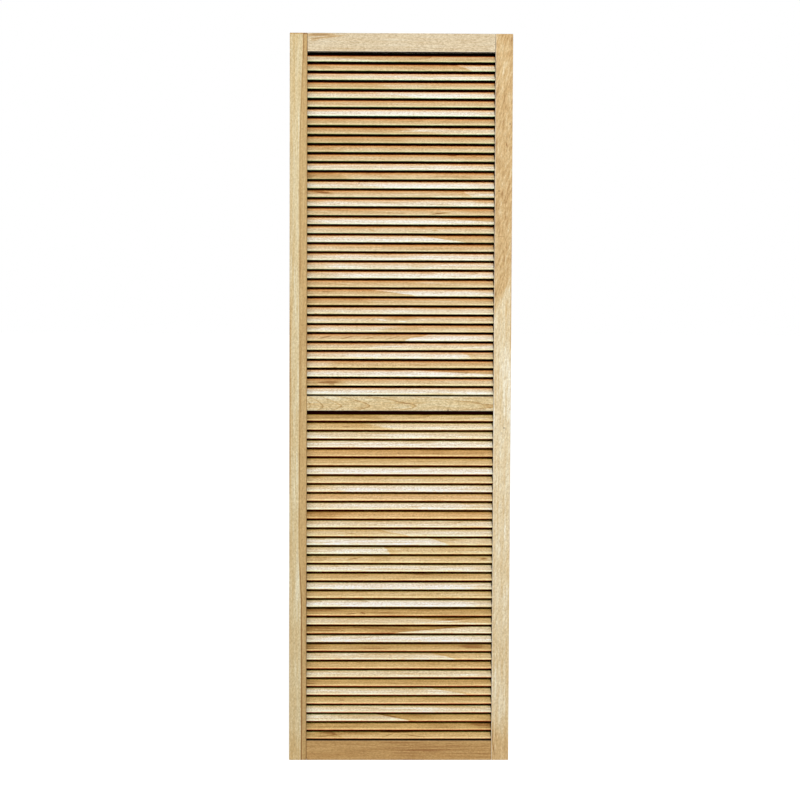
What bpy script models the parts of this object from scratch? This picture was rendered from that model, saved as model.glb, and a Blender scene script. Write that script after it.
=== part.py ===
# Louvred closet door: a solid timber leaf with two stiles, three rails and two banks of fixed slats.
# Metres, +Z up. The origin is on the middle of the leaf's foot, and the face that is seen looks along -Y.

import math

import bmesh
import bpy
from mathutils import Matrix, Vector

# The leaf
LEAF_WIDTH = 0.620
LEAF_HEIGHT = 2.040
LEAF_THICKNESS = 0.035

# The frame round the slats
STILE_WIDTH = 0.049
TOP_RAIL_HEIGHT = 0.052
MID_RAIL_HEIGHT = 0.045
BOTTOM_RAIL_HEIGHT = 0.058
MID_RAIL_FOOT = 0.988  # the mid rail's lower edge above the leaf's foot
ARRIS = 0.0010  # how far the long corners of stiles and rails are rounded
ARRIS_STEPS = 2
ARRIS_PROFILE = 0.5  # a round arris, as the Bevel operator counts it

# Blind tenons on the rails' ends, in mortises in the stiles
TENON_LENGTH = 0.036
TENON_THICKNESS = 0.012
TENON_SHOULDER = 0.008  # from the tenon to the rail's edge beside the slats
TENON_HAUNCH = 0.014  # from the tenon to the rail's edge at the leaf's head or foot

# The slats, with rounded edges, front edge low and back edge high
UPPER_SLATS = 38
LOWER_SLATS = 37
SLAT_WIDTH = 0.036
SLAT_THICKNESS = 0.006
SLAT_TILT = math.radians(45)
SLAT_HOUSED = 0.009  # how far each end of a slat is let into its stile
SLAT_HEAD_GAP = 0.0003  # between the highest slat of a bank and the rail above it
SLAT_FOOT_GAP = 0.0016  # between the lowest slat of a bank and the rail below it
ROUND_STEPS = 6  # flats round each edge of a slat
SMOOTH_ANGLE = math.radians(40)  # faces that meet at less than this are shaded as one curve

FIT = 0.0003  # clearance of each glued joint
OVERRUN = 0.004  # how far a cutter runs past the face that it cuts

# The assembly is kept to this many pieces, so evenly spaced slats are made in one with a stile.
MOST_PIECES = 60

# Colours of the bare sanded wood, as red, green and blue
PALE_WOOD = (0.80, 0.69, 0.50)
GOLDEN_WOOD = (0.70, 0.53, 0.31)
TAN_WOOD = (0.62, 0.45, 0.28)
WOOD_ROUGHNESS = 0.62

# Places that follow from the sizes above
OPENING_WIDTH = LEAF_WIDTH - 2 * STILE_WIDTH
TOP_RAIL_FOOT = LEAF_HEIGHT - TOP_RAIL_HEIGHT
SLAT_LENGTH = OPENING_WIDTH + 2 * SLAT_HOUSED
SLAT_RISE = (SLAT_WIDTH - SLAT_THICKNESS) * math.sin(SLAT_TILT) + SLAT_THICKNESS
SIDES = {"left": -1, "right": 1}

# Each rail: its name, lower edge, height, and the shoulders below and above its tenon
RAILS = (
    ("top_rail", TOP_RAIL_FOOT, TOP_RAIL_HEIGHT, TENON_SHOULDER, TENON_HAUNCH),
    ("mid_rail", MID_RAIL_FOOT, MID_RAIL_HEIGHT, TENON_SHOULDER, TENON_SHOULDER),
    ("bottom_rail", 0, BOTTOM_RAIL_HEIGHT, TENON_HAUNCH, TENON_SHOULDER),
)


def clear_scene():
    for old in list(bpy.data.objects):
        bpy.data.objects.remove(old)


def wood(name, colour):
    material = bpy.data.materials.new(name)
    material.use_nodes = True
    shader = material.node_tree.nodes["Principled BSDF"]
    shader.inputs["Base Color"].default_value = (*colour, 1)
    shader.inputs["Roughness"].default_value = WOOD_ROUGHNESS
    shader.inputs["Metallic"].default_value = 0
    return material


def add_box(shape, width, depth, height, centre):
    sizes = Matrix.Diagonal((width, depth, height, 1))
    bmesh.ops.create_cube(shape, size=1, matrix=Matrix.Translation(centre) @ sizes)


def add_rounded_strip(shape, length, width, thickness, place=Matrix()):
    """A flat strip along X with half-round edges, as a slat is, and as its housing needs."""
    radius = thickness / 2
    reach = width / 2 - radius
    outline = []
    for side in (1, -1):
        for step in range(ROUND_STEPS + 1):
            angle = math.pi * step / ROUND_STEPS
            across = side * (reach + radius * math.sin(angle))
            up = side * radius * math.cos(angle)
            outline.append(shape.verts.new(place @ Vector((-length / 2, across, up))))
    swept = bmesh.ops.extrude_face_region(shape, geom=[shape.faces.new(outline)])
    far_end = [item for item in swept["geom"] if isinstance(item, bmesh.types.BMVert)]
    bmesh.ops.translate(shape, verts=far_end, vec=(length, 0, 0))


def slat_place(middle_x, height):
    """Where a strip lies in the leaf: its middle at a height, its front edge down."""
    return Matrix.Translation((middle_x, 0, height)) @ Matrix.Rotation(SLAT_TILT, 4, "X")


def mesh_from(shape, name):
    bmesh.ops.recalc_face_normals(shape, faces=shape.faces)
    mesh = bpy.data.meshes.new(name)
    shape.to_mesh(mesh)
    shape.free()
    return mesh


def add_object(name, mesh, leaf, location=(0, 0, 0)):
    item = bpy.data.objects.new(name, mesh)
    bpy.context.collection.objects.link(item)
    item.parent = leaf
    item.location = location
    return item


def add_helper(name, shape, leaf):
    """A hidden solid that a Boolean adds to a piece or cuts from it."""
    helper = add_object(name, mesh_from(shape, name), leaf)
    helper.hide_render = True
    helper.display_type = "WIRE"
    return helper


def combine(item, other, operation):
    """A Boolean. The Exact solver leaves a hole where a slat meets its stile in a lower leaf, so it isn't used."""
    change = item.modifiers.new(other.name, "BOOLEAN")
    change.operation = operation
    change.solver = "MANIFOLD"
    change.object = other


def bar_mesh(name, width, height, material):
    """A member of the frame as planed stock, with its four long corners rounded."""
    shape = bmesh.new()
    add_box(shape, width, LEAF_THICKNESS, height, (0, 0, height / 2))
    length = max(width, height)
    long_edges = [edge for edge in shape.edges if edge.calc_length() > length - ARRIS]
    bmesh.ops.bevel(
        shape, geom=long_edges, offset=ARRIS, segments=ARRIS_STEPS, affect="EDGES", profile=ARRIS_PROFILE
    )
    mesh = mesh_from(shape, name)
    mesh.materials.append(material)
    return mesh


def slat_heights(count, foot, head):
    """Middle heights of one bank's slats between two rails, the highest first."""
    highest = head - SLAT_HEAD_GAP - SLAT_RISE / 2
    lowest = foot + SLAT_FOOT_GAP + SLAT_RISE / 2
    pitch = (highest - lowest) / (count - 1)
    return [highest - pitch * number for number in range(count)]


def list_slats():
    """Every slat as its name, its middle height and the side it is made in one with, if any."""
    banks = (
        ("upper", slat_heights(UPPER_SLATS, MID_RAIL_FOOT + MID_RAIL_HEIGHT, TOP_RAIL_FOOT)),
        ("lower", slat_heights(LOWER_SLATS, BOTTOM_RAIL_HEIGHT, MID_RAIL_FOOT)),
    )
    places = []
    for bank, heights in banks:
        places += [(f"{bank}_slat_{order:02d}", height) for order, height in enumerate(heights, 1)]
    total = len(places)
    joined = max(0, total + len(SIDES) + len(RAILS) - MOST_PIECES)
    slats = []
    for number, (name, height) in enumerate(places):
        earlier = number * joined // total
        is_joined = (number + 1) * joined // total > earlier
        side = list(SIDES)[earlier % len(SIDES)] if is_joined else None
        slats.append((name, height, side))
    return slats


def tenon_box(rail, clearance):
    """Depth, height and middle height of a rail's tenon, or of its mortise with a clearance."""
    _, foot, height, below, above = rail
    tall = height - below - above + 2 * clearance
    middle = foot + (height + below - above) / 2
    return TENON_THICKNESS + 2 * clearance, tall, middle


def make_rail(rail, leaf, material):
    """A rail between the stiles, with one tongue through its length that stands out as both tenons."""
    name, foot, height, _, _ = rail
    mesh = bar_mesh(name, OPENING_WIDTH - 2 * FIT, height, material)
    rail_body = add_object(name, mesh, leaf, (0, 0, foot))
    depth, tall, middle = tenon_box(rail, 0)
    tongue = bmesh.new()
    add_box(tongue, OPENING_WIDTH + 2 * TENON_LENGTH, depth, tall, (0, 0, middle))
    combine(rail_body, add_helper(name + "_tenons", tongue, leaf), "UNION")


def cut_joints(shape, side, slats):
    """The mortises and slat housings of one stile, each run a little past its inner face."""
    inner_face = SIDES[side] * OPENING_WIDTH / 2
    for rail in RAILS:
        depth, tall, middle = tenon_box(rail, FIT)
        length = TENON_LENGTH + FIT + OVERRUN
        centre_x = inner_face + SIDES[side] * (TENON_LENGTH + FIT - OVERRUN) / 2
        add_box(shape, length, depth, tall, (centre_x, 0, middle))
    for _, height, joined_side in slats:
        if joined_side == side:
            continue
        length = SLAT_HOUSED + FIT + OVERRUN
        centre_x = inner_face + SIDES[side] * (SLAT_HOUSED + FIT - OVERRUN) / 2
        place = slat_place(centre_x, height)
        add_rounded_strip(shape, length, SLAT_WIDTH + 2 * FIT, SLAT_THICKNESS + 2 * FIT, place)


def make_stile(side, slats, leaf, material):
    """An upright of the leaf with its joints cut, made in one with the few slats that it carries so."""
    name = side + "_stile"
    stile_x = SIDES[side] * (OPENING_WIDTH + STILE_WIDTH) / 2
    mesh = bar_mesh(name, STILE_WIDTH, LEAF_HEIGHT, material)
    stile = add_object(name, mesh, leaf, (stile_x, 0, 0))

    joints = bmesh.new()
    cut_joints(joints, side, slats)
    combine(stile, add_helper(name + "_joints", joints, leaf), "DIFFERENCE")

    carried = bmesh.new()
    for _, height, joined_side in slats:
        if joined_side == side:
            add_rounded_strip(carried, SLAT_LENGTH, SLAT_WIDTH, SLAT_THICKNESS, slat_place(0, height))
    combine(stile, add_helper(name + "_slats", carried, leaf), "UNION")


def make_slats(slats, leaf, materials):
    """The slats that are pieces of their own. They share one mesh for each tone of wood."""
    meshes = []
    for material in materials:
        strip = bmesh.new()
        add_rounded_strip(strip, SLAT_LENGTH, SLAT_WIDTH, SLAT_THICKNESS)
        mesh = mesh_from(strip, "slat_of_" + material.name)
        mesh.materials.append(material)
        mesh.shade_smooth()
        mesh.set_sharp_from_angle(angle=SMOOTH_ANGLE)
        meshes.append(mesh)
    for number, (name, height, joined_side) in enumerate(slats):
        if joined_side is None:
            slat = add_object(name, meshes[number % len(meshes)], leaf, (0, 0, height))
            slat.rotation_euler.x = SLAT_TILT


def main():
    clear_scene()
    leaf = bpy.data.objects.new("door_leaf", None)
    bpy.context.collection.objects.link(leaf)
    pale = wood("pale_wood", PALE_WOOD)
    golden = wood("golden_wood", GOLDEN_WOOD)
    tan = wood("tan_wood", TAN_WOOD)

    slats = list_slats()
    make_stile("left", slats, leaf, golden)
    make_stile("right", slats, leaf, pale)
    for rail, material in zip(RAILS, (pale, pale, tan)):
        make_rail(rail, leaf, material)
    make_slats(slats, leaf, (pale, tan))


main()
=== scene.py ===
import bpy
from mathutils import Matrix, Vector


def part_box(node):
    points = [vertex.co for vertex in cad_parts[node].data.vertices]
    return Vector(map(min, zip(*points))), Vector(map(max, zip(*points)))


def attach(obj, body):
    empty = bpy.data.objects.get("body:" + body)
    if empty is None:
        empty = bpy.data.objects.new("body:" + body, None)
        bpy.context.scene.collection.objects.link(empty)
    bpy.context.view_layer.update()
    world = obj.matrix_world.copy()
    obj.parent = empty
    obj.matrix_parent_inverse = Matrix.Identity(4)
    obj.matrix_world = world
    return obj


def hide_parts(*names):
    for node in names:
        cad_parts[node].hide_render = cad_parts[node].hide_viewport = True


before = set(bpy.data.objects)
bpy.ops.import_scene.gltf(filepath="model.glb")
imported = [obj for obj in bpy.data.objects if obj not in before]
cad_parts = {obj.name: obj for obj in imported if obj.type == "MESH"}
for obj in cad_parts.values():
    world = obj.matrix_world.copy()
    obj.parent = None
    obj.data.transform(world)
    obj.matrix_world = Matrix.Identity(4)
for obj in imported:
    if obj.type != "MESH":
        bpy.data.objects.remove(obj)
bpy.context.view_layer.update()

import math

import bmesh
import bpy
from mathutils import Matrix, Quaternion, Vector

print("packed door loaded")

leaf = {
    "width": 0.620,
    "height": 2.040,
    "thickness": 0.035,
    "arris": 0.0014,  # how far the corners of stiles and rails are rounded
    "arrisSteps": 5,
    "fit": 0.0003,  # clearance in the joints
}


# Node trees

def operator(operation, reflected=False):  # a method that adds a Math node
    def apply(self, other):
        values = (other, self) if reflected else (self, other)
        return self.graph.maths(operation, *values)

    return apply


class Value:  # one output socket, with arithmetic
    def __init__(self, graph, socket):
        self.graph = graph
        self.socket = socket

    __add__, __radd__ = operator("ADD"), operator("ADD", reflected=True)
    __sub__, __rsub__ = operator("SUBTRACT"), operator("SUBTRACT", reflected=True)
    __mul__, __rmul__ = operator("MULTIPLY"), operator("MULTIPLY", reflected=True)
    __truediv__, __pow__ = operator("DIVIDE"), operator("POWER")
    __lt__, __gt__ = operator("LESS_THAN"), operator("GREATER_THAN")


class Graph:  # a node tree, and the one way that nodes are added to it
    def __init__(self, tree):
        self.tree = tree

    def add(self, kind, settings=None, inputs=None, output=0):
        node = self.tree.nodes.new(kind)
        for name, setting in (settings or {}).items():
            if name == "stops":
                self.fillRamp(node.color_ramp, setting)
            else:
                setattr(node, name, setting)
        for key, value in (inputs or {}).items():
            self.feed(self.find(node.inputs, key), value)
        if isinstance(output, tuple):
            return [Value(self, self.find(node.outputs, key)) for key in output]
        if len(node.outputs):
            return Value(self, self.find(node.outputs, output))

    def find(self, sockets, key):
        working = [socket for socket in sockets if socket.enabled]
        if isinstance(key, int):
            return working[key]
        return next(socket for socket in working if socket.name == key)

    def feed(self, socket, value):
        if isinstance(value, Value):
            self.tree.links.new(value.socket, socket)
        elif isinstance(value, list):
            for part in value:
                self.feed(socket, part)
        else:
            socket.default_value = value

    def fillRamp(self, ramp, stops):
        while len(ramp.elements) < len(stops):
            ramp.elements.new(0.5)
        for element, (place, colour) in zip(ramp.elements, stops):
            element.position = place
            element.color = (*colour, 1)

    def maths(self, operation, *values):
        return self.add("ShaderNodeMath", {"operation": operation}, dict(enumerate(values)))

    def vectorMaths(self, operation, *values, output="Vector"):
        return self.add("ShaderNodeVectorMath", {"operation": operation}, dict(enumerate(values)), output)

    def split(self, vector):
        return self.add("ShaderNodeSeparateXYZ", {}, {"Vector": vector}, ("X", "Y", "Z"))

    def join(self, x, y, z):
        return self.add("ShaderNodeCombineXYZ", {}, {"X": x, "Y": y, "Z": z})

    def stretch(self, vector, amounts):
        return self.vectorMaths("MULTIPLY", vector, amounts)

    def length(self, vector):
        return self.vectorMaths("LENGTH", vector, output="Value")

    def distance(self, value):  # from zero, either way
        return self.maths("ABSOLUTE", value)

    def limit(self, value, low=0.0):
        return self.add("ShaderNodeClamp", {}, {"Value": value, "Min": low})

    def smooth(self, value, low, high):  # 0 below low, 1 above high
        limits = {"Value": value, "From Min": low, "From Max": high}
        return self.add("ShaderNodeMapRange", {"interpolation_type": "SMOOTHSTEP"}, limits)

    def fade(self, value, low, high):  # 1 below low, 0 above high
        return 1 - self.smooth(value, low, high)

    def between(self, value, rise, fall):  # 1 from the end of the rise to the start of the fall
        return self.smooth(value, *rise) * self.fade(value, *fall)

    def noise(self, vector, waves, detail=2.0, roughness=0.5):  # waves in a metre along each axis
        place = {"Vector": self.stretch(vector, waves), "Scale": 1.0}
        fineness = {"Detail": detail, "Roughness": roughness}
        return self.add("ShaderNodeTexNoise", {}, {**place, **fineness}, "Fac") - 0.5  # above and below zero

    def ramp(self, stops, place):
        return self.add("ShaderNodeValToRGB", {"stops": stops}, {"Fac": place}, "Color")

    def mix(self, share, first, second):
        colours = {"Factor": share, "A": first, "B": second}
        return self.add("ShaderNodeMix", {"data_type": "RGBA"}, colours)


def emptyGraph(owner):  # of a material or the world
    owner.use_nodes = True
    owner.node_tree.nodes.clear()
    return Graph(owner.node_tree)


# Meshes

def link(name, mesh):
    item = bpy.data.objects.new(name, mesh)
    bpy.context.scene.collection.objects.link(item)
    return item


def barMesh(name, low, high, rounded):  # a bar between two corners, with the chosen edges rounded
    shape = bmesh.new()
    size = Vector(high) - Vector(low)
    centre = (Vector(high) + Vector(low)) / 2
    bmesh.ops.create_cube(shape, size=1, matrix=Matrix.Translation(centre) @ Matrix.Diagonal((*size, 1)))
    if rounded == "long":
        edges = [edge for edge in shape.edges if edge.calc_length() > max(size) - leaf["arris"]]
    elif rounded == "all":
        edges = list(shape.edges)
    else:
        edges = []
    if edges:
        bmesh.ops.bevel(
            shape, geom=edges, offset=leaf["arris"], segments=leaf["arrisSteps"], affect="EDGES", profile=0.5
        )
    bmesh.ops.recalc_face_normals(shape, faces=shape.faces)
    mesh = bpy.data.meshes.new(name)
    shape.to_mesh(mesh)
    shape.free()
    return mesh


def combine(item, name, mesh, operation):  # a Boolean with a helper that settle removes
    change = item.modifiers.new(name, "BOOLEAN")
    change.operation = operation
    change.solver = "MANIFOLD"
    change.object = link(name, mesh)


def settle(item):  # makes the modifiers' result a plain mesh, and removes their helpers
    bpy.context.view_layer.update()
    helpers = [change.object for change in item.modifiers if change.type == "BOOLEAN"]
    depsgraph = bpy.context.evaluated_depsgraph_get()
    shape = item.evaluated_get(depsgraph)
    mesh = bpy.data.meshes.new_from_object(shape, preserve_all_data_layers=True, depsgraph=depsgraph)
    item.modifiers.clear()
    item.data = mesh
    mesh.name = item.name
    for helper in helpers:
        bpy.data.objects.remove(helper)


def shadeRounds(mesh):  # faces square to an axis stay flat, and rounded ones are smooth
    for face in mesh.polygons:
        face.use_smooth = max(abs(part) for part in face.normal) < 0.9999


# Geometry Nodes

def startTree(name, sizes, counts):  # a tree with a named input for each size, each count and the wood
    tree = bpy.data.node_groups.new(name, "GeometryNodeTree")
    kinds = {"Geometry": "NodeSocketGeometry"}
    kinds.update(dict.fromkeys(sizes, "NodeSocketFloat"))
    kinds.update(dict.fromkeys(counts, "NodeSocketInt"))
    kinds["Wood"] = "NodeSocketMaterial"
    for label, kind in kinds.items():
        tree.interface.new_socket(label, in_out="INPUT", socket_type=kind)
    tree.interface.new_socket("Geometry", in_out="OUTPUT", socket_type="NodeSocketGeometry")
    graph = Graph(tree)
    given = dict(zip(kinds, graph.add("NodeGroupInput", {}, {}, tuple(kinds))))
    return graph, given


def grow(item, tree, values):  # runs a tree on an object and keeps the result
    change = item.modifiers.new(tree.name, "NODES")
    change.node_group = tree
    for socket in tree.interface.items_tree:
        if socket.in_out == "INPUT" and socket.name in values:
            change[socket.identifier] = values[socket.name]
    settle(item)


def addStrip(graph, length, width, thickness, lengthSteps):
    # A cylinder is reshaped into a flat strip along X with two half-round edges. Each half of its
    # outline is a half circle between two points a little way in on the flats, which keep the flats flat.
    roundSteps = slats["roundSteps"]
    half = roundSteps + 3
    sides = {"Vertices": 2 * half, "Side Segments": lengthSteps, "Radius": 1.0, "Depth": 1.0}
    tube, sideFaces = graph.add("GeometryNodeMeshCylinder", {"fill_type": "NGON"}, sides, ("Mesh", "Side"))
    x, y, z = graph.split(graph.add("GeometryNodeInputPosition"))
    turn = graph.maths("ARCTAN2", y, x) * (half / math.pi) + 2 * half
    number = graph.maths("ROUND", turn)
    order = graph.maths("MODULO", number, half)
    place = graph.maths("MODULO", number, 2 * half)
    side = 1 - 2 * (place > half - 0.5)
    bend = (graph.limit((order - 1) / roundSteps) - 0.5) * math.pi
    ends = (order < 0.5) + (order > roundSteps + 1.5)
    radius = thickness / 2
    across = side * (width / 2 - radius + radius * graph.maths("COSINE", bend) - slats["inset"] * ends)
    shaped = graph.join(z * length, across, side * radius * graph.maths("SINE", bend))
    strip = graph.add("GeometryNodeSetPosition", {}, {"Geometry": tube, "Position": shaped})
    return graph.add("GeometryNodeSetShadeSmooth", {}, {"Geometry": strip, "Shade Smooth": sideFaces})


def placeStrips(graph, points, strip, tilt):
    rotation = graph.add("FunctionNodeEulerToRotation", {}, {"Euler": graph.join(tilt, 0, 0)})
    placed = {"Points": points, "Instance": strip, "Rotation": rotation}
    return graph.add("GeometryNodeInstanceOnPoints", {}, placed)


def realize(graph, geometry):
    return graph.add("GeometryNodeRealizeInstances", {}, {"Geometry": geometry})


def finishTree(graph, geometry, material):
    dressed = graph.add("GeometryNodeSetMaterial", {}, {"Geometry": geometry, "Material": material})
    graph.add("NodeGroupOutput", {}, {"Geometry": dressed})
    return graph.tree


# Slats

slats = {
    "length": 0.540,
    "width": 0.036,
    "thickness": 0.006,
    "tilt": math.radians(45),
    "housed": 0.009,  # how far each end is let into its stile
    "roundSteps": 10,
    "inset": 0.0012,  # from a rounded edge to the point that keeps its flat flat
    "lengthSteps": 14,
    "unevenTilt": math.radians(0.35),
    "bow": 0.0005,
    "seed": 7,
}

# The tone of each slat by its number from the top. The ones that are in no list are golden. A changing
# slat has one tone at its left end and another at its right end, and the shares of its length where the
# line between them meets its upper side and its exposed edge.
toneOf = {
    "white": -0.04, "pale": 0.08, "ivory": 0.13, "cream": 0.20, "straw": 0.31, "golden": 0.42, "honey": 0.52,
    "tan": 0.62, "russet": 0.74, "brown": 0.86,
}

upperBank = {
    "count": 38,
    "first": "upper_slat_01",
    "last": "upper_slat_37",
    "white": (7,),
    "pale": (13, 23, 38),
    "ivory": (17,),
    "straw": (20,),
    "honey": (8,),
    "crisp": (2, 16, 19, 21, 25, 27, 32, 34, 36),  # where the line between the tones is sharp
    "rosy": (),  # redder slats
    "changing": {
        1: ("cream", "honey", -0.10, 0.47), 2: ("honey", "ivory", 0.79, 0.87),
        3: ("cream", "ivory", 0.15, 0.25), 4: ("tan", "golden", 0.35, 0.45),
        5: ("cream", "white", 0.30, 0.60), 9: ("tan", "cream", 0.47, 0.71),
        10: ("tan", "golden", 0.45, 0.55), 11: ("tan", "golden", 0.12, 0.20),
        12: ("honey", "golden", 0.15, 0.25), 14: ("russet", "golden", 0.16, 0.24),
        15: ("ivory", "white", 0.20, 0.40), 16: ("straw", "pale", 0.82, 0.86),
        18: ("golden", "honey", 0.60, 0.66), 19: ("white", "honey", 0.70, 1.18),
        21: ("white", "golden", 0.60, 0.83), 22: ("straw", "golden", 0.40, 0.46),
        24: ("cream", "pale", 0.10, 0.20), 25: ("golden", "white", 0.50, -3.00),
        27: ("honey", "pale", 0.34, 0.58), 28: ("tan", "golden", 0.30, 0.38),
        29: ("straw", "cream", 0.12, 0.20), 30: ("cream", "straw", 0.10, 0.12),
        31: ("cream", "golden", 0.52, 0.38), 32: ("golden", "white", 0.65, 0.52),
        33: ("straw", "cream", 0.25, 0.35), 34: ("pale", "straw", 0.82, 0.87),
        35: ("cream", "honey", 0.165, 0.107), 36: ("white", "tan", 0.53, 1.22),
        37: ("russet", "golden", 0.22, 0.19),
    },
}

lowerBank = {
    "count": 37,
    "first": "lower_slat_01",
    "last": "lower_slat_36",
    "white": (7, 20, 22, 26),
    "pale": (4, 11, 34),
    "ivory": (3, 18),
    "cream": (13, 30),
    "honey": (6, 10),
    "tan": (19, 29, 33),
    "russet": (5, 31),
    "brown": (23,),
    "crisp": (14, 15, 16, 24, 25, 28, 32, 35, 37),
    "rosy": (5, 10, 12),
    "changing": {
        1: ("russet", "honey", 0.35, 0.45), 2: ("honey", "cream", 0.31, 0.47),
        9: ("cream", "white", 0.10, 0.20), 12: ("brown", "tan", 0.25, 0.18),
        14: ("golden", "cream", 0.39, 0.55), 15: ("white", "cream", 0.66, 0.76),
        16: ("ivory", "golden", 0.414, 0.45), 21: ("honey", "golden", 0.30, 0.40),
        24: ("cream", "honey", 0.55, 1.00), 25: ("brown", "cream", 0.90, 0.47),
        27: ("brown", "russet", 0.10, 0.15), 28: ("ivory", "golden", 0.66, 0.78),
        32: ("pale", "straw", 0.66, 0.86), 35: ("ivory", "russet", 0.385, 0.55),
        36: ("russet", "brown", 0.84, 0.88), 37: ("russet", "tan", 0.15, 0.22),
    },
}


def middle(node):
    low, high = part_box(node)
    return (low + high) / 2


def bankHeights(bank):  # the middle height of each slat, taken from the first and last that are CAD nodes
    top = middle(bank["first"]).z
    steps = int(bank["last"][-2:]) - 1
    pitch = (top - middle(bank["last"]).z) / steps
    return [top - pitch * number for number in range(bank["count"])]


def slatPoints(name, bank):  # a point for each slat, which carries its tones
    mesh = bpy.data.meshes.new(name)
    heights = bankHeights(bank)
    mesh.from_pydata([(0, 0, height) for height in heights], [], [])
    named = {number: tone for tone in toneOf for number in bank.get(tone, ())}
    rows = {"leftTone": [], "rightTone": [], "changeAbove": [], "changeBelow": [], "crisp": [], "rosy": []}
    for number in range(1, bank["count"] + 1):
        tone = named.get(number, "golden")
        left, right, above, below = bank["changing"].get(number, (tone, tone, 0.5, 0.5))
        rows["leftTone"].append(toneOf[left])
        rows["rightTone"].append(toneOf[right])
        rows["changeAbove"].append((above - 0.5) * slats["length"])
        rows["changeBelow"].append((below - 0.5) * slats["length"])
        for label in ("crisp", "rosy"):
            rows[label].append(float(number in bank[label]))
    for label, values in rows.items():
        mesh.attributes.new(label, "FLOAT", "POINT").data.foreach_set("value", values)
    return mesh


def keepVector(graph, domain, geometry, label, value):
    settings = {"data_type": "FLOAT_VECTOR", "domain": domain}
    stored = {"Geometry": geometry, "Name": label, "Value": value}
    return graph.add("GeometryNodeStoreNamedAttribute", settings, stored)


def keptVector(graph, label):
    kept = graph.add("GeometryNodeInputNamedAttribute", {"data_type": "FLOAT_VECTOR"}, {"Name": label})
    return graph.split(kept)


def slatTree():
    sizes = ("Length", "Width", "Thickness", "Tilt", "Uneven tilt", "Bow")
    graph, given = startTree("slatBank", sizes, ("Seed",))
    strip = addStrip(graph, given["Length"], given["Width"], given["Thickness"], slats["lengthSteps"])
    strip = keepVector(graph, "POINT", strip, "slatPlace", graph.add("GeometryNodeInputPosition"))
    number = graph.add("GeometryNodeInputIndex")
    spread = {"Min": (-1, -1, -1), "Max": (1, 1, 1), "ID": number, "Seed": given["Seed"]}
    draw = graph.add("FunctionNodeRandomValue", {"data_type": "FLOAT_VECTOR"}, spread)
    draw = graph.vectorMaths("SCALE", draw, number > 0)  # the first is straight, so no light passes above it
    tilt = given["Tilt"] + graph.split(draw)[0] * given["Uneven tilt"]
    row = placeStrips(graph, given["Geometry"], strip, tilt)
    row = realize(graph, keepVector(graph, "INSTANCE", row, "slatDraw", draw))

    # Each slat bows a little towards or away from its face, and not at all at its ends.
    reach = keptVector(graph, "slatPlace")[0] / (given["Length"] / 2)
    bow = keptVector(graph, "slatDraw")[1] * given["Bow"] * (reach * reach - 1)
    sine, cosine = graph.maths("SINE", given["Tilt"]), graph.maths("COSINE", given["Tilt"])
    lift = graph.join(0, 0 - bow * sine, bow * cosine)
    row = graph.add("GeometryNodeSetPosition", {}, {"Geometry": row, "Offset": lift})
    return finishTree(graph, row, given["Wood"])


def makeSlats(name, bank, tree, material):
    item = link(name, slatPoints(name, bank))
    grow(item, tree, {
        "Length": slats["length"],
        "Width": slats["width"],
        "Thickness": slats["thickness"],
        "Tilt": slats["tilt"],
        "Uneven tilt": slats["unevenTilt"],
        "Bow": slats["bow"],
        "Seed": slats["seed"] + bank["count"],
        "Wood": material,
    })
    prefix = bank["first"][:-2]
    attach(item, "root")
    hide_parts(*[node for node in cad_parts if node.startswith(prefix)])
    print(name, "with", bank["count"], "slats")


# Rails and stiles

rails = {
    "topRail": {"node": "top_rail", "below": 0.008, "above": 0.014},
    "midRail": {"node": "mid_rail", "below": 0.008, "above": 0.008},
    "bottomRail": {"node": "bottom_rail", "below": 0.014, "above": 0.008},
}
tenon = {"length": 0.036, "thickness": 0.012}
stiles = {"leftStile": ("left_stile", -1), "rightStile": ("right_stile", 1)}
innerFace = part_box("mid_rail")[1].x - tenon["length"]
sideFace = leaf["width"] / 2
front = leaf["thickness"] / 2


def tenonCorners(rail, clearance, reach):  # the tongue that stands out as both tenons, or its mortises
    low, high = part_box(rail["node"])
    deep = tenon["thickness"] / 2 + clearance
    foot, head = low.z + rail["below"] - clearance, high.z - rail["above"] + clearance
    return (-reach, -deep, foot), (reach, deep, head)


def makeRail(name, rail, material):
    low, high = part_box(rail["node"])
    shoulder = innerFace - leaf["fit"]
    item = link(name, barMesh(name, (-shoulder, -front, low.z), (shoulder, front, high.z), "long"))
    tongue = tenonCorners(rail, 0, innerFace + tenon["length"])
    combine(item, name + "Tenons", barMesh("tongue", *tongue, "none"), "UNION")
    settle(item)
    shadeRounds(item.data)
    item.data.materials.clear()
    item.data.materials.append(material)
    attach(item, "root")
    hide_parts(rail["node"])
    print(name, "with its tenons")


def housingTree():
    sizes = ("Face", "Depth", "Width", "Thickness", "Tilt", "Upper height", "Lower height", "Pitch")
    graph, given = startTree("slatHousings", sizes, ("Upper slats", "Lower slats"))
    banks = []
    for bank in ("Upper", "Lower"):
        start = graph.join(given["Face"], 0, given[bank + " height"])
        step = graph.join(0, 0, 0 - given["Pitch"])
        line = {"Count": given[bank + " slats"], "Start Location": start, "Offset": step}
        banks.append(graph.add("GeometryNodeMeshLine", {"mode": "OFFSET"}, line))
    points = graph.add("GeometryNodeJoinGeometry", {}, {"Geometry": banks})
    pocket = addStrip(graph, given["Depth"] * 2, given["Width"], given["Thickness"], 1)
    pockets = realize(graph, placeStrips(graph, points, pocket, given["Tilt"]))
    cut = {"operation": "DIFFERENCE", "solver": "MANIFOLD"}
    stile = graph.add("GeometryNodeMeshBoolean", cut, {"Mesh 1": given["Geometry"], "Mesh 2": pockets})
    return finishTree(graph, stile, given["Wood"])


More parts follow.
